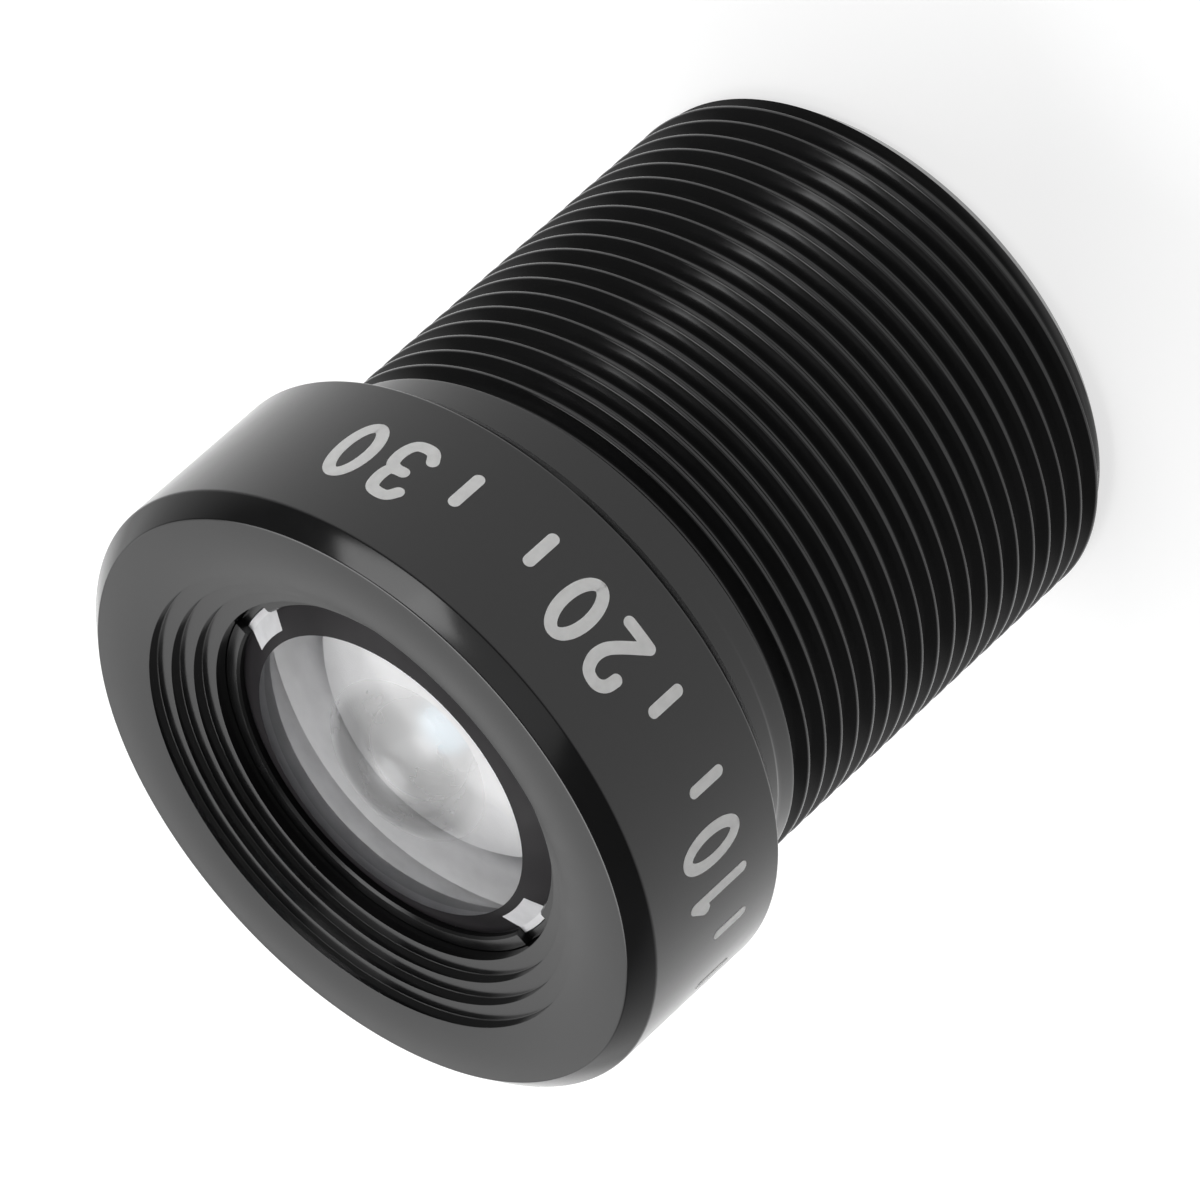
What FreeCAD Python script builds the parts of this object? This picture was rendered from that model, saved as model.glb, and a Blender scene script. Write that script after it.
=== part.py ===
import FreeCAD, Part
import math
import os

# M12 board camera lens standing on its rear end.
# The optical axis is +Z and the front glass looks up. Millimetres.
# Depths are measured down from the front face.

V = FreeCAD.Vector

# barrel outside
overall_length = 15.85
thread_diameter = 12.0
thread_end_chamfer = 0.45
head_diameter = 14.0
head_length = 4.45
head_chamfer = 0.4

# stepped mouth
mouth_steps = 3
mouth_step_depth = 0.24
tread_width = 0.36
mouth_edge_break = 0.04

# slip fit of glass and rings in their bores, and the cement film of the pair
slip = 0.02
cement = 0.02

# front cell
front_bore_radius = 4.02
front_ring_wall = 0.18
front_ring_recess = 0.28
front_ring_lip = 0.17
front_ring_seat = 0.12
front_ring_chamfer = 0.05
front_ring_skirt = 0.56
slot_width = 1.2
front_spacer_wall = 0.8
front_spacer_length = 0.45
stop_spacer_wall = 1.5
stop_spacer_length = 0.5
stop_thickness = 0.1
stop_opening = 2.3

# web between the two cells
web_thickness = 0.6
web_opening = 2.6

# rear cell
rear_bore_radius = 3.42
joint_rim_width = 0.1
rear_spacer_wall = 0.5
rear_ring_wall = 0.18
rear_ring_length = 0.9
rear_ring_seat = 0.65
rear_slot_depth = 0.4

# filter in the rear counterbore
filter_thickness = 0.55
filter_recess = 0.4
filter_seat_radius = 4.3
filter_slip = 0.05

# radii of the polished faces
front_lens_front_curve = 8.8
front_lens_rear_curve = 1.6
second_lens_front_curve = 7.5
second_lens_rear_curve = 5.0
doublet_front_curve = 6.0
doublet_joint_curve = 9.0
doublet_rear_curve = 7.5
rear_lens_front_curve = 9.0
rear_lens_rear_curve = 20.0

# radii of the openings polished into the two faces of the first air space
front_lens_rear_aperture = 1.5
second_lens_front_aperture = 2.0

# glass and air on the axis, as shares of the space from the front seat to the filter
front_lens_share = 0.11
second_lens_share = 0.097
doublet_front_share = 0.065
doublet_rear_share = 0.187
rear_air_share = 0.01
rear_lens_share = 0.134

# radii that follow from the bores
head_radius = head_diameter / 2
thread_radius = thread_diameter / 2
glass_radius = front_bore_radius - slip
front_ring_radius = front_bore_radius + front_ring_wall
front_ring_opening = glass_radius - front_ring_seat
front_spacer_opening = glass_radius - front_spacer_wall
stop_spacer_opening = glass_radius - stop_spacer_wall
rear_glass_radius = rear_bore_radius - slip
joint_aperture = rear_glass_radius - joint_rim_width
rear_spacer_opening = rear_glass_radius - rear_spacer_wall
rear_ring_radius = rear_bore_radius + rear_ring_wall
rear_ring_opening = rear_glass_radius - rear_ring_seat


def sag(curve, aperture):
    return curve - math.sqrt(curve ** 2 - aperture ** 2)


# polished faces: curve and aperture
front_lens_front = (front_lens_front_curve, front_ring_opening - slip)
front_lens_rear = (front_lens_rear_curve, front_lens_rear_aperture)
second_lens_front = (second_lens_front_curve, second_lens_front_aperture)
second_lens_rear = (second_lens_rear_curve, stop_spacer_opening)
doublet_front = (doublet_front_curve, web_opening)
doublet_joint = (doublet_joint_curve, joint_aperture)
doublet_rear = (doublet_rear_curve, rear_spacer_opening)
rear_lens_front = (rear_lens_front_curve, rear_spacer_opening)
rear_lens_rear = (rear_lens_rear_curve, rear_ring_opening - slip)

# seats down the barrel, each from the one before
ring_top = mouth_steps * mouth_step_depth + front_ring_recess
front_flange = ring_top + front_ring_lip
filter_top = overall_length - filter_recess - filter_thickness
space = filter_top - front_flange

front_apex = front_flange - sag(*front_lens_front)
front_lens_vertex = front_apex + front_lens_share * space
front_lens_back = front_lens_vertex + sag(*front_lens_rear)
second_flange = front_lens_back + front_spacer_length
second_apex = second_flange - sag(*second_lens_front)
second_lens_back = second_apex + second_lens_share * space + sag(*second_lens_rear)
stop_top = second_lens_back + stop_spacer_length
web_top = stop_top + stop_thickness
web_bottom = web_top + web_thickness
joint_vertex = web_bottom + sag(*doublet_front) + doublet_front_share * space
joint_rim = joint_vertex + sag(*doublet_joint)
doublet_vertex = joint_vertex + cement + doublet_rear_share * space
doublet_back = doublet_vertex - sag(*doublet_rear)
rear_apex = doublet_vertex + rear_air_share * space
rear_flange = rear_apex + sag(*rear_lens_front)
rear_lens_back = rear_apex + rear_lens_share * space - sag(*rear_lens_rear)


def height(depth):
    return overall_length - depth


def line(start, end):
    return Part.LineSegment(V(start[0], 0, start[1]), V(end[0], 0, end[1])).toShape()


def turned(points):
    # Solid of revolution from (radius, height) corners.
    closed = points + [points[0]]
    edges = [line(a, b) for a, b in zip(closed, closed[1:])]
    return Part.Face(Part.Wire(edges)).revolve(V(0, 0, 0), V(0, 0, 1), 360)


def ring(outer, inner, top_depth, bottom_depth):
    top = height(top_depth)
    bottom = height(bottom_depth)
    return turned([(inner, top), (outer, top), (outer, bottom), (inner, bottom)])


def ball_at(face, seat, offset_sign):
    # The ball lies on its side, which keeps its poles and seam off the glass.
    curve, aperture = face
    ball = Part.makeSphere(curve)
    ball.rotate(V(0, 0, 0), V(1, 0, 0), 90)
    ball.translate(V(0, 0, seat + offset_sign * (curve - sag(curve, aperture))))
    return ball


def hollowed(blank, face, seat, outward):
    return blank.cut(ball_at(face, seat, outward))


def bulged(blank, face, seat, outward):
    curve, aperture = face
    reach = 2 * sag(curve, aperture)
    low = seat if outward > 0 else seat - reach
    beyond = Part.makeCylinder(curve, reach, V(0, 0, low))
    return blank.fuse(ball_at(face, seat, -outward).common(beyond))


def blank_lens(radius, front_depth, rear_depth):
    length = rear_depth - front_depth
    return Part.makeCylinder(radius, length, V(0, 0, height(rear_depth)))


def broken_edge(wall, top):
    return [(wall + mouth_edge_break, top), (wall, top - mouth_edge_break)]


def barrel():
    shoulder = height(head_length)
    points = [
        (filter_seat_radius, 0),
        (thread_radius - thread_end_chamfer, 0),
        (thread_radius, thread_end_chamfer),
        (thread_radius, shoulder),
        (head_radius - head_chamfer, shoulder),
        (head_radius, shoulder + head_chamfer),
        (head_radius, overall_length - head_chamfer),
        (head_radius - head_chamfer, overall_length),
    ]
    for step in range(mouth_steps):
        wall = front_ring_radius + (mouth_steps - step) * tread_width
        points += broken_edge(wall, height(step * mouth_step_depth))
        points.append((wall, height((step + 1) * mouth_step_depth)))
    points += broken_edge(front_ring_radius, height(mouth_steps * mouth_step_depth))
    ring_bottom = front_flange + front_ring_skirt + slip
    points += [
        (front_ring_radius, height(ring_bottom)),
        (front_bore_radius, height(ring_bottom)),
        (front_bore_radius, height(web_top)),
        (web_opening, height(web_top)),
        (web_opening, height(web_bottom)),
        (rear_bore_radius, height(web_bottom)),
        (rear_bore_radius, height(rear_lens_back)),
        (rear_ring_radius, height(rear_lens_back)),
        (rear_ring_radius, height(filter_top)),
        (filter_seat_radius, height(filter_top)),
    ]
    return turned(points)


def spanner_slots(top, depth, reach):
    # One box across the ring, so that both slots lie on one diameter.
    return Part.makeBox(2 * reach, slot_width, depth, V(-reach, -slot_width / 2, top - depth))


def front_retaining_ring():
    outer = front_ring_radius - slip
    inner = glass_radius + slip
    top = height(ring_top)
    flange = height(front_flange)
    body = turned([
        (front_ring_opening + front_ring_chamfer, top),
        (outer, top),
        (outer, flange - front_ring_skirt),
        (inner, flange - front_ring_skirt),
        (inner, flange),
        (front_ring_opening, flange),
        (front_ring_opening, top - front_ring_chamfer),
    ])
    return body.cut(spanner_slots(top, front_ring_lip, front_ring_radius))


def rear_retaining_ring():
    back = rear_lens_back + rear_ring_length
    body = ring(rear_ring_radius - slip, rear_ring_opening, rear_lens_back, back)
    return body.cut(spanner_slots(height(back) + rear_slot_depth, rear_slot_depth, rear_ring_radius))


def front_lens():
    blank = blank_lens(glass_radius, front_flange, front_lens_back)
    blank = bulged(blank, front_lens_front, height(front_flange), 1)
    return hollowed(blank, front_lens_rear, height(front_lens_back), -1)


def second_lens():
    blank = blank_lens(glass_radius, second_flange, second_lens_back)
    blank = bulged(blank, second_lens_front, height(second_flange), 1)
    return hollowed(blank, second_lens_rear, height(second_lens_back), -1)


def doublet_front_lens():
    blank = blank_lens(rear_glass_radius, web_bottom, joint_rim)
    blank = hollowed(blank, doublet_front, height(web_bottom), 1)
    return hollowed(blank, doublet_joint, height(joint_rim), -1)


def doublet_rear_lens():
    front = joint_rim + cement
    blank = blank_lens(rear_glass_radius, front, doublet_back)
    blank = bulged(blank, doublet_joint, height(front), 1)
    return bulged(blank, doublet_rear, height(doublet_back), -1)


def rear_lens():
    blank = blank_lens(rear_glass_radius, rear_flange, rear_lens_back)
    blank = bulged(blank, rear_lens_front, height(rear_flange), 1)
    return bulged(blank, rear_lens_rear, height(rear_lens_back), -1)


def ir_cut_filter():
    radius = filter_seat_radius - filter_slip
    return Part.makeCylinder(radius, filter_thickness, V(0, 0, filter_recess))


parts = {
    "barrel": barrel(),
    "front_retaining_ring": front_retaining_ring(),
    "front_lens": front_lens(),
    "front_spacer": ring(glass_radius, front_spacer_opening, front_lens_back, second_flange),
    "second_lens": second_lens(),
    "stop_spacer": ring(glass_radius, stop_spacer_opening, second_lens_back, stop_top),
    "aperture_stop": ring(glass_radius, stop_opening, stop_top, web_top),
    "doublet_front_lens": doublet_front_lens(),
    "doublet_rear_lens": doublet_rear_lens(),
    "rear_spacer": ring(rear_glass_radius, rear_spacer_opening, doublet_back, rear_flange),
    "rear_lens": rear_lens(),
    "rear_retaining_ring": rear_retaining_ring(),
    "ir_cut_filter": ir_cut_filter(),
}

os.makedirs("parts", exist_ok=True)
for name, shape in parts.items():
    shape.exportStep("parts/" + name + ".step")
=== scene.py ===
import math

import bmesh
import bpy
from mathutils import Matrix, Vector


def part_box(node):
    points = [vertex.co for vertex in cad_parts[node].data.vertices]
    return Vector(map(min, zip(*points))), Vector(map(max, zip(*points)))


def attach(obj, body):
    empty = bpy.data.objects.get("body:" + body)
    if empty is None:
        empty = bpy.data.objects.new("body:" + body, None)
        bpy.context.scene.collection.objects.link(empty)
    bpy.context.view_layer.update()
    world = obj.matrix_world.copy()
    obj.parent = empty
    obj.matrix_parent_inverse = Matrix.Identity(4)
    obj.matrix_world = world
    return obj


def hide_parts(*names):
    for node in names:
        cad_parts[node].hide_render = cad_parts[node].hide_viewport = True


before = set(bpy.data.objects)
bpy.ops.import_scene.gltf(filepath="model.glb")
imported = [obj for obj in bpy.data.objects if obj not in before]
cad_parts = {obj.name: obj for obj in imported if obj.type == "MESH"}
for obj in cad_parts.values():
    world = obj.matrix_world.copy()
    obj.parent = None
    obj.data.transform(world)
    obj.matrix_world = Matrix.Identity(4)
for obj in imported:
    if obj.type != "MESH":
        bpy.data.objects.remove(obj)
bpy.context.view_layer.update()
scene = bpy.context.scene
scene.view_settings.view_transform = "Standard"
mm = 0.001
print("lens: frame loaded")


def heightsOf(node):
    low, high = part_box(node)
    return low[2] / mm, high[2] / mm


def sag(curve, aperture):
    return curve - math.sqrt(curve ** 2 - aperture ** 2)


# small tools for turned pieces

def filleted(points, steps=3, most=0.45):
    # points are (radius, height, fillet); a fillet of 0 keeps the corner
    # no fillet takes more of an edge than the share most
    out = []
    count = len(points)
    for i, (r, z, fillet) in enumerate(points):
        here = Vector((r, z))
        if fillet == 0 or i == 0 or i == count - 1:
            out.append((r, z))
            continue
        before = Vector(points[i - 1][:2]) - here
        after = Vector(points[i + 1][:2]) - here
        reach = min(fillet, before.length * most, after.length * most)
        a = here + before.normalized() * reach
        b = here + after.normalized() * reach
        for s in range(steps + 1):
            t = s / steps
            p = a * (1 - t) ** 2 + here * 2 * t * (1 - t) + b * t ** 2
            out.append((p.x, p.y))
    return out


def bridge(bm, low, high):
    count = max(len(low), len(high))
    for k in range(count):
        n = (k + 1) % count
        corners = [low[k % len(low)], low[n % len(low)], high[n % len(high)], high[k % len(high)]]
        unique = []
        for v in corners:
            if v not in unique:
                unique.append(v)
        if len(unique) > 2:
            bm.faces.new(unique)


def latheRows(bm, outline, segments):
    rows = []
    for r, z in outline:
        if r < 1e-6:
            rows.append([bm.verts.new((0, 0, z * mm))])
            continue
        turn = [2 * math.pi * k / segments for k in range(segments)]
        rows.append([bm.verts.new((r * math.cos(a) * mm, r * math.sin(a) * mm, z * mm)) for a in turn])
    for low, high in zip(rows, rows[1:]):
        bridge(bm, low, high)
    return rows


def finishPiece(bm, name, material, nodes=(), slotName=None, sharpAngle=35, weighted=True):
    bmesh.ops.remove_doubles(bm, verts=bm.verts, dist=1e-7)
    bmesh.ops.dissolve_degenerate(bm, edges=bm.edges, dist=1e-8)
    bmesh.ops.recalc_face_normals(bm, faces=bm.faces)
    mesh = bpy.data.meshes.new(name)
    bm.to_mesh(mesh)
    bm.free()
    mesh.shade_smooth()
    mesh.set_sharp_from_angle(angle=math.radians(sharpAngle))
    piece = bpy.data.objects.new(name, mesh)
    scene.collection.objects.link(piece)
    mesh.materials.append(material)
    if weighted:
        even = piece.modifiers.new("evenShading", "WEIGHTED_NORMAL")
        even.keep_sharp = True
        even.weight = 60
    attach(piece, "root")
    if nodes:
        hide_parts(*nodes)
    return piece


def turnedPiece(name, outline, material, nodes, slotName, segments=128, closed=True, **finish):
    bm = bmesh.new()
    rows = latheRows(bm, outline, segments)
    if closed:
        bridge(bm, rows[-1], rows[0])
    return finishPiece(bm, name, material, nodes, slotName, **finish)


# materials

def newMaterial(name):
    material = bpy.data.materials.new(name)
    material.use_nodes = True
    nodes = material.node_tree.nodes
    return material, nodes, material.node_tree.links, nodes["Principled BSDF"]


def noiseValue(nodes, links, scale, detail, low, high):
    # object-space noise, with its middle span mapped between two values
    place = nodes.new("ShaderNodeTexCoord")
    noise = nodes.new("ShaderNodeTexNoise")
    noise.inputs["Scale"].default_value = scale
    noise.inputs["Detail"].default_value = detail
    links.new(place.outputs["Object"], noise.inputs["Vector"])
    spread = nodes.new("ShaderNodeMapRange")
    spread.inputs["From Min"].default_value = 0.3
    spread.inputs["From Max"].default_value = 0.7
    spread.inputs["To Min"].default_value = low
    spread.inputs["To Max"].default_value = high
    links.new(noise.outputs["Fac"], spread.inputs["Value"])
    return spread.outputs["Result"]


def latheRings(nodes, links, scale):
    # fine rings left by the lathe, read from the distance to the axis plus the height
    place = nodes.new("ShaderNodeTexCoord")
    flat = nodes.new("ShaderNodeVectorMath")
    flat.operation = "MULTIPLY"
    flat.inputs[1].default_value = (1, 1, 0)
    reach = nodes.new("ShaderNodeVectorMath")
    reach.operation = "LENGTH"
    split = nodes.new("ShaderNodeSeparateXYZ")
    total = nodes.new("ShaderNodeMath")
    rings = nodes.new("ShaderNodeTexNoise")
    rings.noise_dimensions = "1D"
    rings.inputs["Scale"].default_value = scale
    rings.inputs["Detail"].default_value = 2
    links.new(place.outputs["Object"], flat.inputs[0])
    links.new(flat.outputs["Vector"], reach.inputs[0])
    links.new(place.outputs["Object"], split.inputs["Vector"])
    links.new(reach.outputs["Value"], total.inputs[0])
    links.new(split.outputs["Z"], total.inputs[1])
    links.new(total.outputs["Value"], rings.inputs["W"])
    return rings.outputs["Fac"]


def noiseTint(nodes, links, shader, look):
    # patches of base colour between dark and light
    tint = nodes.new("ShaderNodeMix")
    tint.data_type = "RGBA"
    tint.inputs["A"].default_value = (*look["dark"], 1)
    tint.inputs["B"].default_value = (*look["light"], 1)
    links.new(noiseValue(nodes, links, look["patch"], look["patchDetail"], 0, 1), tint.inputs["Factor"])
    links.new(tint.outputs["Result"], shader.inputs["Base Color"])


def blackMetal(name, look):
    material, nodes, links, shader = newMaterial(name)
    noiseTint(nodes, links, shader, look)
    rough = noiseValue(nodes, links, look["grain"], look["grainDetail"], look["roughLow"], look["roughHigh"])
    links.new(rough, shader.inputs["Roughness"])
    bump = nodes.new("ShaderNodeBump")
    bump.inputs["Strength"].default_value = look["bump"]
    bump.inputs["Distance"].default_value = look["bumpDepth"] * mm
    links.new(latheRings(nodes, links, look["rings"]), bump.inputs["Height"])
    links.new(bump.outputs["Normal"], shader.inputs["Normal"])
    shader.inputs["IOR"].default_value = look["ior"]
    return material


anodisedLook = {
    "dark": (0.0025, 0.0025, 0.0026), "light": (0.0055, 0.0055, 0.0058), "patch": 260, "patchDetail": 4,
    "grain": 1500, "grainDetail": 3, "roughLow": 0.14, "roughHigh": 0.18,
    "rings": 26000, "bump": 0.25, "bumpDepth": 0.0004, "ior": 1.5,
}
ringLook = dict(anodisedLook, roughLow=0.2, roughHigh=0.28, ior=1.46)
spacerLook = dict(anodisedLook, roughLow=0.5, roughHigh=0.65, ior=1.38)
stopLook = dict(anodisedLook, dark=(0.003, 0.003, 0.003), light=(0.005, 0.005, 0.005),
                roughLow=0.7, roughHigh=0.8, ior=1.3)
# a dark look for the outer zone of the front dome
darkZoneLook = dict(anodisedLook, dark=(0.012, 0.011, 0.012), light=(0.02, 0.018, 0.02), rings=9000,
               roughLow=0.3, roughHigh=0.38, ior=1.2)
blackAnodised = blackMetal("blackAnodised", anodisedLook)
dullBlack = blackMetal("dullBlack", ringLook)
spacerBlack = blackMetal("spacerBlack", spacerLook)
stopBlack = blackMetal("stopBlack", stopLook)


def lensGlass(name, look):
    material, nodes, links, shader = newMaterial(name)
    rough = noiseValue(nodes, links, look["grain"], look["grainDetail"], look["roughLow"], look["roughHigh"])
    links.new(rough, shader.inputs["Roughness"])
    shader.inputs["Base Color"].default_value = (*look["colour"], 1)
    shader.inputs["Transmission Weight"].default_value = 1
    shader.inputs["IOR"].default_value = look["ior"]
    return material


domeLook = {"colour": (0.98, 0.98, 0.99), "ior": 1.9, "grain": 900, "grainDetail": 5,
            "roughLow": 0.012, "roughHigh": 0.02}
hollowLook = dict(domeLook, roughLow=0.26, roughHigh=0.3)
innerLook = dict(domeLook, colour=(0.95, 0.96, 1.0), ior=1.7)
filterLook = dict(domeLook, colour=(0.62, 0.9, 0.92), ior=1.52, roughHigh=0.03)
frontGlass = lensGlass("frontGlass", domeLook)
hollowGlass = lensGlass("hollowGlass", hollowLook)
innerGlass = lensGlass("innerGlass", innerLook)
filterGlass = lensGlass("filterGlass", filterLook)


def paleSurface(name, look):
    material, nodes, links, shader = newMaterial(name)
    noiseTint(nodes, links, shader, look)
    shader.inputs["Roughness"].default_value = look["rough"]
    return material


# fine-ground faces of the front glass, which stay grey behind the polished dome
rimLook = {"dark": (0.7, 0.7, 0.714), "light": (0.8, 0.8, 0.816),
           "patch": 2200, "patchDetail": 5, "rough": 0.65}
backLook = dict(rimLook, dark=(0.5, 0.5, 0.51), light=(0.6, 0.6, 0.612))
markLook = {"dark": (0.86, 0.86, 0.85), "light": (0.94, 0.94, 0.93),
            "patch": 5000, "patchDetail": 4, "rough": 0.6}
groundRim = paleSurface("groundRim", rimLook)
# the back's pale grey also paints the light spots at the ring's slots on the dome
groundBackAndSlotLight = paleSurface("groundBackAndSlotLight", backLook)
darkDomeZone = blackMetal("darkDomeZone", darkZoneLook)
markWhite = paleSurface("printWhite", markLook)
print("lens: materials made")


# barrel with its fine thread

barrel = {
    "length": heightsOf("barrel")[1], "segments": 192,
    "headRadius": 6.992, "headRear": 11.4, "headChamfer": 0.4,
    "threadRadius": 6.0, "endChamfer": 0.45, "pitch": 0.5, "crestStart": -0.675, "threadTop": 10.9,
    "ringRadius": 4.2, "treadWidth": 0.36, "stepDepth": 0.24, "steps": 3,
    "frontBore": 4.02, "webOpening": 2.6, "rearBore": 3.42, "rearRingBore": 3.6, "filterSeat": 4.3,
    "slip": 0.02, "edge": 0.035, "mouthEdge": 0.008, "insideEdge": 0.02, "neckFillet": 0.05,
}
# half of one thread turn, from the middle of the crest to the middle of the groove: (height, depth)
threadHalf = [(0.018, 0.0), (0.03, 0.004), (0.046, 0.0255), (0.1875, 0.2706), (0.215, 0.298), (0.25, 0.307)]
runOut = {"start": 7480, "end": 7840, "rise": 0.13}   # start and end in degrees along the groove, rise in mm


def grooveDepth(degrees):
    t = (degrees - runOut["start"]) / (runOut["end"] - runOut["start"])
    t = min(max(t, 0), 1)
    return 1 - t * t * (3 - 2 * t)


def threadGrid(bm, b):
    pitch = b["pitch"]
    section = threadHalf + [(pitch - s, d) for s, d in reversed(threadHalf[:-1])]
    turns = math.ceil((b["threadTop"] - b["crestStart"]) / pitch) + 1
    deepest = threadHalf[-1][1]
    segments = b["segments"]
    grid = []
    for turn in range(turns):
        for s, depth in section:
            row = []
            for k in range(segments):
                along = turn + k / segments
                full = grooveDepth(along * 360)
                lift = runOut["rise"] * (1 - full) * depth / deepest
                z = min(max(b["crestStart"] + pitch * along + s + lift, 0), b["threadTop"])
                r = b["threadRadius"] - depth * full
                if z >= b["threadTop"]:
                    r = b["threadRadius"]
                r = min(r, b["threadRadius"] - b["endChamfer"] + z)
                angle = 2 * math.pi * k / segments
                row.append(bm.verts.new((r * math.cos(angle) * mm, r * math.sin(angle) * mm, z * mm)))
            grid.append(row)
    rowsPerTurn = len(section)
    for i, (low, high) in enumerate(zip(grid, grid[1:])):
        for k in range(segments - 1):
            bm.faces.new((low[k], low[k + 1], high[k + 1], high[k]))
        # the last column meets the first one a turn further up
        if i + 1 + rowsPerTurn < len(grid):
            bm.faces.new((low[-1], grid[i + rowsPerTurn][0], grid[i + 1 + rowsPerTurn][0], high[-1]))


def barrelOutline(b):
    top = b["length"]
    inside = b["insideEdge"]
    filterTop = heightsOf("ir_cut_filter")[1]
    rearSeat = heightsOf("rear_retaining_ring")[1]
    webBottom = heightsOf("doublet_front_lens")[1]
    webTop = heightsOf("aperture_stop")[0]
    ringBottom = heightsOf("front_retaining_ring")[0] - b["slip"]
    points = [
        (b["threadRadius"] - b["endChamfer"], 0, 0),
        (b["filterSeat"], 0, inside),
        (b["filterSeat"], filterTop, inside),
        (b["rearRingBore"], filterTop, inside),
        (b["rearRingBore"], rearSeat, inside),
        (b["rearBore"], rearSeat, inside),
        (b["rearBore"], webBottom, inside),
        (b["webOpening"], webBottom, inside),
        (b["webOpening"], webTop, inside),
        (b["frontBore"], webTop, inside),
        (b["frontBore"], ringBottom, inside),
        (b["ringRadius"], ringBottom, inside),
    ]
    for step in range(b["steps"] + 1):
        wall = b["ringRadius"] + step * b["treadWidth"]
        level = top - (b["steps"] - step) * b["stepDepth"]
        if step:
            points.append((wall, level - b["stepDepth"], inside))
        points.append((wall, level, b["mouthEdge"]))
    head = b["headRadius"]
    rear = b["headRear"]
    cut = b["headChamfer"]
    points += [
        (head - cut, top, b["edge"]),
        (head, top - cut, b["edge"]),
        (head, rear + cut, b["edge"]),
        (head - cut, rear, b["edge"]),
        (b["threadRadius"], rear, b["neckFillet"]),
        (b["threadRadius"], b["threadTop"], 0),
    ]
    return filleted(points)


bm = bmesh.new()
threadGrid(bm, barrel)
latheRows(bm, barrelOutline(barrel), barrel["segments"])
barrelPiece = finishPiece(bm, "threaded_barrel", blackAnodised, ["barrel"], "black_anodised",
                          sharpAngle=50)
print("lens: barrel turned,", len(barrelPiece.data.polygons), "faces")


# retaining rings

hair = 0.003   # air between seats that touch
frontDome = (8.8, 3.86)   # curve and aperture of the front glass, whose rim the front ring holds
ringBottom, ringTop = heightsOf("front_retaining_ring")
frontFlange = heightsOf("front_lens")[1] - sag(*frontDome)
frontRing = {"outer": 4.18, "inner": 3.88, "skirt": 4.02, "top": ringTop, "flange": frontFlange + hair,
             "bottom": ringBottom, "slotWidth": 1.2, "chamfer": 0.05}
rearBottom, rearTop = heightsOf("rear_retaining_ring")
rearRing = {"outer": 3.58, "inner": 2.75, "top": rearTop - hair, "bottom": rearBottom,
            "slotWidth": 1.2, "slotDepth": 0.4}
softEdge = 0.015   # bevel on the edges of both rings
beyond = 1   # how far the slots' cutter stands past a ring
closeSegments = 160   # round the pieces that the mouth shows


def slotted(piece, low, high, width, reach):
    # cuts one straight slot across the ring, then softens the edges
    bm = bmesh.new()
    bmesh.ops.create_cube(bm, size=1)
    for v in bm.verts:
        v.co = Vector((v.co.x * 2 * reach, v.co.y * width, low if v.co.z < 0 else high))
        v.co *= mm
    cutterMesh = bpy.data.meshes.new("slotCutter")
    bm.to_mesh(cutterMesh)
    bm.free()
    cutter = bpy.data.objects.new("slotCutter", cutterMesh)
    scene.collection.objects.link(cutter)
    cut = piece.modifiers.new("slots", "BOOLEAN")
    cut.operation = "DIFFERENCE"
    cut.object = cutter
    bpy.context.view_layer.update()
    done = bpy.data.meshes.new_from_object(piece.evaluated_get(bpy.context.evaluated_depsgraph_get()))
    piece.modifiers.remove(cut)
    piece.data = done
    bpy.data.objects.remove(cutter)
    soft = piece.modifiers.new("softEdges", "BEVEL")
    soft.width = softEdge * mm
    soft.segments = 2
    soft.limit_method = "ANGLE"
    soft.angle_limit = math.radians(35)
    soft.harden_normals = True


r = frontRing
ringOutline = [(r["inner"] + r["chamfer"], r["top"]), (r["outer"], r["top"]), (r["outer"], r["bottom"]),
               (r["skirt"], r["bottom"]), (r["skirt"], r["flange"]), (r["inner"], r["flange"]),
               (r["inner"], r["top"] - r["chamfer"])]
frontRingPiece = turnedPiece("slotted_front_ring", ringOutline, dullBlack, ["front_retaining_ring"],
                             "dull_black", segments=closeSegments, weighted=False)
slotted(frontRingPiece, r["flange"] - hair, r["top"] + beyond, r["slotWidth"], r["outer"] + beyond)
r = rearRing
ringOutline = [(r["inner"], r["top"]), (r["outer"], r["top"]), (r["outer"], r["bottom"]),
               (r["inner"], r["bottom"])]
rearRingPiece = turnedPiece("slotted_rear_ring", ringOutline, dullBlack, ["rear_retaining_ring"],
                            "dull_black", weighted=False)
slotted(rearRingPiece, r["bottom"] - beyond, r["bottom"] + r["slotDepth"],
        r["slotWidth"], r["outer"] + beyond)


# glass

def glassFace(curve, aperture, tip, outward, rings=20):
    # points from the axis to the rim; tip is the node's outermost height on that side
    ball = abs(curve)
    points = []
    for i in range(rings + 1):
        r = aperture * i / rings
        drop = sag(ball, r) if curve > 0 else sag(ball, r) - sag(ball, aperture)
        points.append((r, tip - outward * drop * math.copysign(1, curve)))
    return points


# radius, then curve and aperture of the front and rear faces; a negative curve is hollow
glassPieces = {
    "front_glass": {"node": "front_lens", "radius": 4.0, "front": frontDome, "rear": (-1.6, 1.5)},
    "second_glass": {"node": "second_lens", "radius": 4.0, "front": (7.5, 2.0), "rear": (-5, 2.5)},
    "pair_front_glass": {"node": "doublet_front_lens", "radius": 3.4, "front": (-6, 2.6), "rear": (-9, 3.3)},
    "pair_rear_glass": {"node": "doublet_rear_lens", "radius": 3.4, "front": (9, 3.3), "rear": (7.5, 2.9)},
    "rear_glass": {"node": "rear_lens", "radius": 3.4, "front": (9, 2.9), "rear": (20, 2.73)},
}
# zones of the front glass: where the seat, the dark zone and the pale spots start,
# and the half width of the spots as a share of their distance from the axis; the spots are painted light,
# falling through the ring's slots onto the glass
frontZones = {"seat": 3.1, "darkFrom": 3.28, "slotLightFrom": 3.48, "slotLightSpread": 0.16,
              "rimSkin": 0.02, "domeDepth": 1.2}


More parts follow.
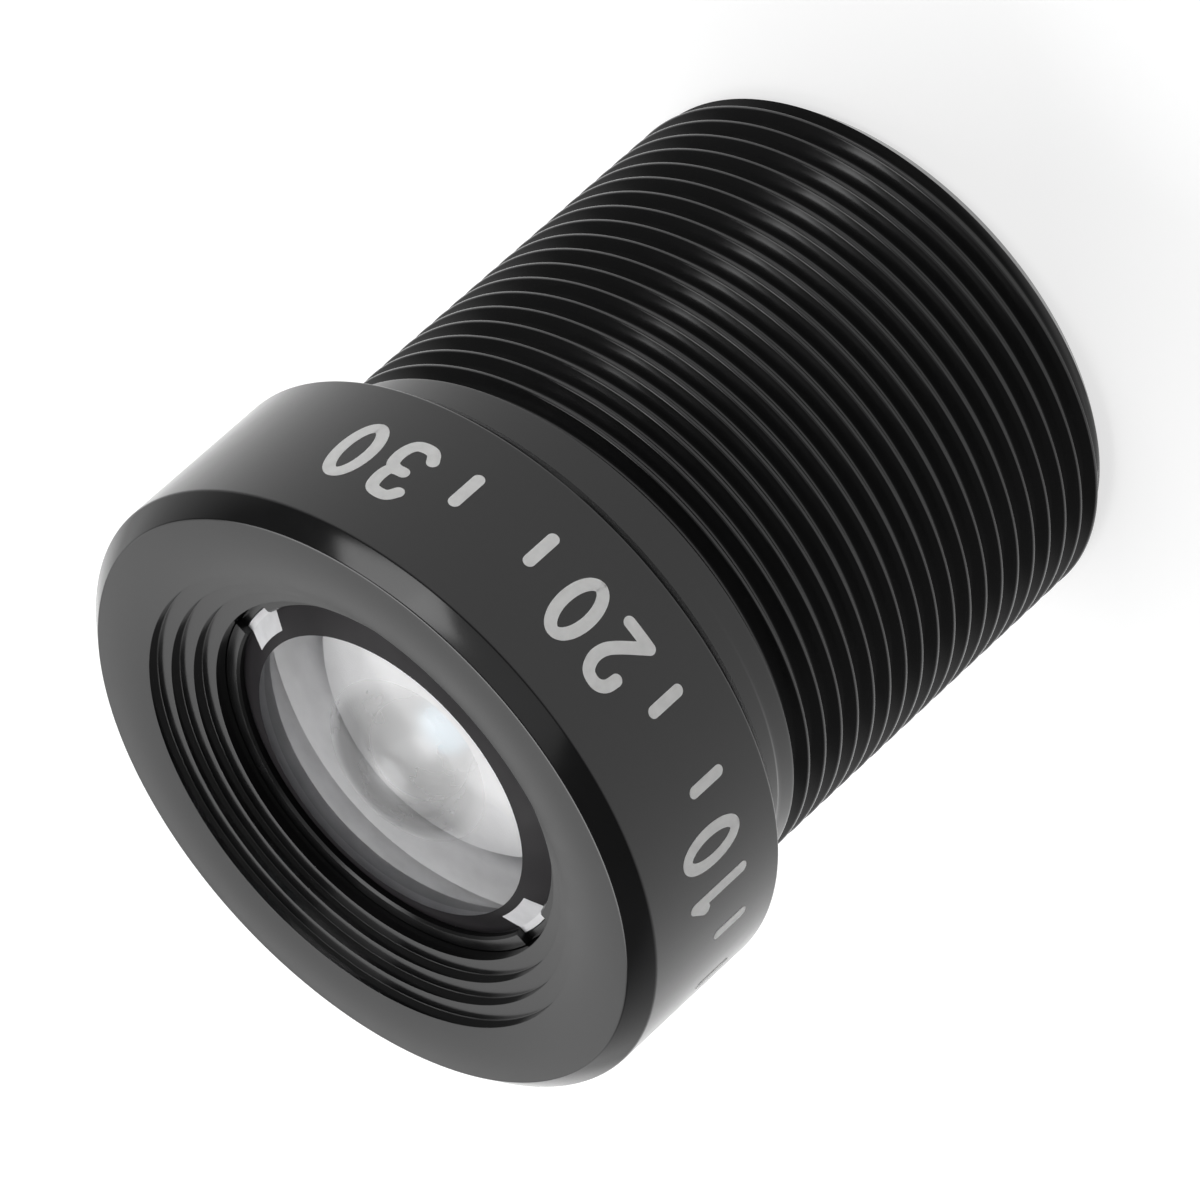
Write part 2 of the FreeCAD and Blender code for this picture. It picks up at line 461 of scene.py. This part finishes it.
def markZones(piece, g, low, high):
    # the rim and the seat at the back are ground pale and the rest of the back a little darker,
    # the hollow is hazed, and the dome's outer zone is dark but for two pale spots at the ring's slots,
    # painted light where it falls through the slots onto the glass
    zones = frontZones
    rim, back, hollow, darkZone = range(1, 5)
    for material in (groundRim, groundBackAndSlotLight, hollowGlass, darkDomeZone):
        piece.data.materials.append(material)
    hollowReach = g["rear"][1]
    for face in piece.data.polygons:
        reach = math.hypot(face.center.x, face.center.y) / mm
        up = face.center.z / mm
        flat = abs(face.normal.z) > 0.999
        atBack = flat and up < (low + high) / 2
        # pale spots on the dome at the ring's slots: painted light, where light falls through the slots onto
        # the glass
        slotLightSpot = reach > zones["slotLightFrom"] and abs(face.center.y) < zones["slotLightSpread"] * abs(face.center.x)
        if reach > g["radius"] - zones["rimSkin"] or (atBack and reach > zones["seat"]):
            face.material_index = rim
        elif slotLightSpot or (atBack and reach > hollowReach):
            face.material_index = back
        elif up < high - zones["domeDepth"] and reach < hollowReach:
            face.material_index = hollow
        # the dome's outer zone is dark
        elif reach > zones["darkFrom"]:
            face.material_index = darkZone


for name, g in glassPieces.items():
    isFront = name == "front_glass"
    low, high = heightsOf(g["node"])
    front = glassFace(*g["front"], high, 1)
    rear = glassFace(*g["rear"], low, -1)
    outline = front + [(g["radius"], front[-1][1]), (g["radius"], rear[-1][1])]
    if isFront:
        outline.append((frontZones["seat"], rear[-1][1]))
    outline += rear[::-1]
    piece = turnedPiece(name, outline, frontGlass if isFront else innerGlass, [g["node"]], "coated_glass",
                        segments=closeSegments if isFront else 128, closed=False, sharpAngle=12,
                        weighted=False)
    if isFront:
        markZones(piece, g, low, high)


# spacers, stop and filter

# size is outer radius, inner radius and fillet
flatRings = {
    "front_spacer_ring": {"node": "front_spacer", "size": (4.0, 3.2, 0.02), "slot": "spacer_black"},
    "stop_spacer_ring": {"node": "stop_spacer", "size": (4.0, 2.5, 0.02), "slot": "spacer_black"},
    "aperture_washer": {"node": "aperture_stop", "size": (4.0, 2.3, 0.01), "slot": "stop_black"},
    "rear_spacer_ring": {"node": "rear_spacer", "size": (3.4, 2.9, 0.02), "slot": "spacer_black"},
    "filter_disc": {"node": "ir_cut_filter", "size": (4.25, 0, 0.02), "slot": "filter_glass"},
}
slotMaterials = {"spacer_black": spacerBlack, "stop_black": stopBlack, "filter_glass": filterGlass}
for name, ring in flatRings.items():
    outer, inner, soft = ring["size"]
    low, high = heightsOf(ring["node"])
    if inner > 0:
        low, high = low + hair, high - hair
    outline = filleted([(inner, low, 0), (outer, low, soft), (outer, high, soft), (inner, high, 0)])
    turnedPiece(name, outline, slotMaterials[ring["slot"]], [ring["node"]], ring["slot"], closed=inner > 0)
print("lens: rings and glass in place")


# dial marks on the side of the head

# first and step are in degrees round the head from +X, and the camera looks at the side at -90
dial = {
    "numbers": 4, "perNumber": 10, "first": -186, "step": 45.5, "ticksBetween": 2, "tickHeight": 0.95,
    "low": 12.75, "height": 1.65, "stroke": 0.26, "endSteps": 6, "endTurn": 14,
    "digitWidth": 0.9, "gap": 0.27, "inner": 6.97, "outer": 6.9985, "under": 0.001,
}
wholeTurn = [math.pi * k / 18 for k in range(37)]
# each digit is drawn with strokes of points across its box, from 0 to 1 both ways
digitStrokes = {
    "0": [[(0.5 + 0.5 * math.sin(a), 0.5 - 0.5 * math.cos(a)) for a in wholeTurn]],
    "1": [[(0.25, 0.8), (0.58, 1.0)], [(0.58, 1.0), (0.58, 0.0)]],
    "2": [[(0.0, 0.72), (0.04, 0.9), (0.25, 1.0), (0.5, 1.02), (0.8, 0.98),
           (0.98, 0.8), (0.95, 0.6), (0.75, 0.42), (0.02, 0.0)],
          [(0.02, 0.0), (1.0, 0.0)]],
    "3": [[(0.02, 0.86), (0.2, 1.0), (0.5, 1.02), (0.85, 0.98),
           (0.94, 0.78), (0.9, 0.58), (0.7, 0.53), (0.42, 0.53)],
          [(0.42, 0.53), (0.75, 0.53), (0.98, 0.46), (1.02, 0.22),
           (0.85, 0.02), (0.5, -0.02), (0.18, 0.0), (0.0, 0.14)]],
}


def rounded(line, times=3):
    # cuts the corners of a stroke again and again, and keeps its ends
    for _ in range(times):
        if len(line) < 3:
            break
        cut = [line[0]]
        for a, b in zip(line, line[1:]):
            cut += [a.lerp(b, 0.25), a.lerp(b, 0.75)]
        line = cut + [line[-1]]
    return line


def finer(line, longest=0.1):
    # adds points, so that a long stroke follows the round of the head
    out = [line[0]]
    for a, b in zip(line, line[1:]):
        parts = math.ceil((b - a).length / longest)
        out += [a.lerp(b, k / parts) for k in range(1, parts + 1)]
    return out


def inkStroke(bm, line, d, reach):
    # a closed ribbon with round ends, bent round the head
    half = d["stroke"] / 2
    count = len(line)
    sections = []
    for i, p in enumerate(line):
        along = (line[min(i + 1, count - 1)] - line[max(i - 1, 0)]).normalized()
        sections.append((p, along, half))
    firstAlong = (line[1] - line[0]).normalized()
    lastAlong = (line[-1] - line[-2]).normalized()
    for k in range(1, d["endSteps"] + 1):
        turn = math.radians(d["endTurn"] * k)
        past = half * math.sin(turn)
        wide = half * math.cos(turn)
        sections.insert(0, (line[0] - firstAlong * past, firstAlong, wide))
        sections.append((line[-1] + lastAlong * past, lastAlong, wide))
    columns = []
    for p, along, wide in sections:
        side = Vector((-along.y, along.x)) * wide
        corners = ((p + side, reach), (p - side, reach), (p - side, d["inner"]), (p + side, d["inner"]))
        column = []
        for spot, radius in corners:
            angle = spot.x / d["outer"]
            x = radius * math.cos(angle)
            y = radius * math.sin(angle)
            column.append(bm.verts.new((x * mm, y * mm, spot.y * mm)))
        columns.append(column)
    for a, b in zip(columns, columns[1:]):
        for k in range(4):
            n = (k + 1) % 4
            bm.faces.new((a[k], a[n], b[n], b[k]))
    bm.faces.new(columns[0])
    bm.faces.new(columns[-1][::-1])


bm = bmesh.new()
d = dial
foot = d["low"] + d["stroke"] / 2
across = d["digitWidth"] - d["stroke"]
rise = d["height"] - d["stroke"]
for number in range(d["numbers"]):
    middle = math.radians(d["first"] + d["step"] * number) * d["outer"]
    text = str(number * d["perNumber"])
    width = len(text) * d["digitWidth"] + (len(text) - 1) * d["gap"]
    for place, digit in enumerate(text):
        left = middle - width / 2 + place * (d["digitWidth"] + d["gap"]) + d["stroke"] / 2
        for k, stroke in enumerate(digitStrokes[digit]):
            line = [Vector((left + u * across, foot + v * rise)) for u, v in stroke]
            # a second stroke lies a little lower, so that no two faces share a place
            inkStroke(bm, finer(rounded(line)), d, d["outer"] - d["under"] * k)
    if number == d["numbers"] - 1:
        continue
    for tick in range(1, d["ticksBetween"] + 1):
        u = middle + math.radians(d["step"] * tick / (d["ticksBetween"] + 1)) * d["outer"]
        inkStroke(bm, [Vector((u, foot)), Vector((u, foot + d["tickHeight"] - d["stroke"]))], d, d["outer"])
finishPiece(bm, "dial_marks", markWhite, weighted=False, sharpAngle=30)
print("lens: dial marked")


# floor, light and camera

floorLook = {"grey": 0.42, "rough": 0.9, "lift": 0.7, "reach": 2.0}   # reach in metres


def floorMaterial(look):
    material, nodes, links, shader = newMaterial("paleFloor")
    shader.inputs["Base Color"].default_value = (look["grey"], look["grey"], look["grey"], 1)
    shader.inputs["Roughness"].default_value = look["rough"]
    shader.inputs["Specular IOR Level"].default_value = 0
    # the floor glows to the camera, in reflections and through glass, so that it looks nearly white there
    path = nodes.new("ShaderNodeLightPath")
    seen = nodes.new("ShaderNodeMath")
    seen.operation = "MAXIMUM"
    mirrored = nodes.new("ShaderNodeMath")
    mirrored.operation = "MAXIMUM"
    lift = nodes.new("ShaderNodeMath")
    lift.operation = "MULTIPLY"
    lift.inputs[1].default_value = look["lift"]
    links.new(path.outputs["Is Camera Ray"], seen.inputs[0])
    links.new(path.outputs["Is Glossy Ray"], seen.inputs[1])
    links.new(seen.outputs["Value"], mirrored.inputs[0])
    links.new(path.outputs["Is Transmission Ray"], mirrored.inputs[1])
    links.new(mirrored.outputs["Value"], lift.inputs[0])
    links.new(lift.outputs["Value"], shader.inputs["Emission Strength"])
    shader.inputs["Emission Color"].default_value = (1, 1, 1, 1)
    return material


bm = bmesh.new()
bmesh.ops.create_grid(bm, x_segments=8, y_segments=8, size=floorLook["reach"])
floorMesh = bpy.data.meshes.new("floor")
bm.to_mesh(floorMesh)
bm.free()
floor = bpy.data.objects.new("floor", floorMesh)
floorMesh.materials.append(floorMaterial(floorLook))
scene.collection.objects.link(floor)


def softbox(name, box):
    lamp = bpy.data.lights.new(name, "AREA")
    lamp.shape = box["shape"]
    lamp.size = box["size"][0] * mm
    lamp.size_y = box["size"][1] * mm
    area = lamp.size * lamp.size_y * (math.pi / 4 if lamp.shape == "ELLIPSE" else 1)
    lamp.energy = box["radiance"] * math.pi * area
    body = bpy.data.objects.new(name, lamp)
    place = Vector(box["place"])
    body.location = place * mm
    body.rotation_mode = "QUATERNION"
    body.rotation_quaternion = (Vector(box["aim"]) - place).to_track_quat("-Z", "Y")
    body.visible_camera = False
    scene.collection.objects.link(body)
    return lamp


def fadeAcross(lamp, low, high, stops):
    # brightness of the softbox along Y, with stops of (share of the way from low to high, strength)
    lamp.use_nodes = True
    nodes = lamp.node_tree.nodes
    links = lamp.node_tree.links
    spot = nodes.new("ShaderNodeNewGeometry")
    split = nodes.new("ShaderNodeSeparateXYZ")
    span = nodes.new("ShaderNodeMapRange")
    span.inputs["From Min"].default_value = low * mm
    span.inputs["From Max"].default_value = high * mm
    fade = nodes.new("ShaderNodeFloatCurve")
    line = fade.mapping.curves[0]
    top = max(strength for share, strength in stops)
    line.points[0].location = (0, stops[0][1] / top)
    line.points[1].location = (1, stops[-1][1] / top)
    for share, strength in stops[1:-1]:
        line.points.new(share, strength / top)
    for point in line.points:
        point.handle_type = "VECTOR"
    fade.mapping.update()
    full = nodes.new("ShaderNodeMath")
    full.operation = "MULTIPLY"
    full.inputs[1].default_value = top
    links.new(spot.outputs["Position"], split.inputs["Vector"])
    links.new(split.outputs["Y"], span.inputs["Value"])
    links.new(span.outputs["Result"], fade.inputs["Value"])
    links.new(fade.outputs["Value"], full.inputs[0])
    links.new(full.outputs["Value"], nodes["Emission"].inputs["Strength"])


# places, sizes and spans in mm; a fade has stops of (share of the span along Y, strength)
# the big softbox hangs level and fades away from the camera, where the back panel takes over
lamps = {
    "overheadSoftbox": {"place": (0, 82, 135), "aim": (0, 82, 0), "size": (180, 124), "radiance": 1.0,
                        "shape": "ELLIPSE", "span": (20, 144),
                        "fade": [(0, 6.0), (0.3, 5.6), (0.4, 4.1), (0.7, 2.4), (1, 0.8)]},
    "backPanel": {"place": (0, 214, 155), "aim": (0, -26, 15), "size": (300, 111), "radiance": 1.0,
                  "shape": "RECTANGLE", "span": (187, 242), "fade": [(0, 0.0), (0.3, 1.15), (1, 1.15)]},
    "sideSoftbox": {"place": (72, -50, 130), "aim": (0, 0, 15), "size": (80, 55), "radiance": 3.6,
                    "shape": "RECTANGLE"},
    "frontFill": {"place": (6, -66, 125), "aim": (0, 0, 15), "size": (110, 60), "radiance": 0.6,
                  "shape": "RECTANGLE"},
}
for name, box in lamps.items():
    lamp = softbox(name, box)
    if "fade" in box:
        fadeAcross(lamp, *box["span"], box["fade"])

# grey by the upward share of the direction: white near the ground, dark above
studio = {"low": 0.05, "lowGrey": 1.0, "high": 0.5, "highGrey": 0.12}
world = bpy.data.worlds.new("studio")
scene.world = world
world.use_nodes = True
nodes = world.node_tree.nodes
links = world.node_tree.links
place = nodes.new("ShaderNodeTexCoord")
split = nodes.new("ShaderNodeSeparateXYZ")
ramp = nodes.new("ShaderNodeValToRGB")
links.new(place.outputs["Generated"], split.inputs["Vector"])
links.new(split.outputs["Z"], ramp.inputs["Fac"])
for stop, level in zip(ramp.color_ramp.elements, ("low", "high")):
    grey = studio[level + "Grey"]
    stop.position = studio[level]
    stop.color = (grey, grey, grey, 1)
links.new(ramp.outputs["Color"], nodes["Background"].inputs["Color"])
nodes["Background"].inputs["Strength"].default_value = 1

# place in mm, the directions of its right, upper and rear side, and the nearest and farthest sight in metres
camera = {"place": (-0.19, -179.67, 118.23), "right": (-0.66992, -0.38617, -0.63410),
          "up": (0.74243, -0.34846, -0.57217), "back": (0.0, -0.85408, 0.52015),
          "lens": 325.7, "sensor": 36, "nearest": 0.01, "farthest": 10}
cameraData = bpy.data.cameras.new("camera")
cameraData.sensor_width = camera["sensor"]
cameraData.lens = camera["lens"]
cameraData.clip_start = camera["nearest"]
cameraData.clip_end = camera["farthest"]
cameraBody = bpy.data.objects.new("camera", cameraData)
scene.collection.objects.link(cameraBody)
turn = Matrix((camera["right"], camera["up"], camera["back"])).transposed()
cameraBody.matrix_world = Matrix.Translation(Vector(camera["place"]) * mm) @ turn.to_4x4()
scene.camera = cameraBody
print("lens: lights and camera set")
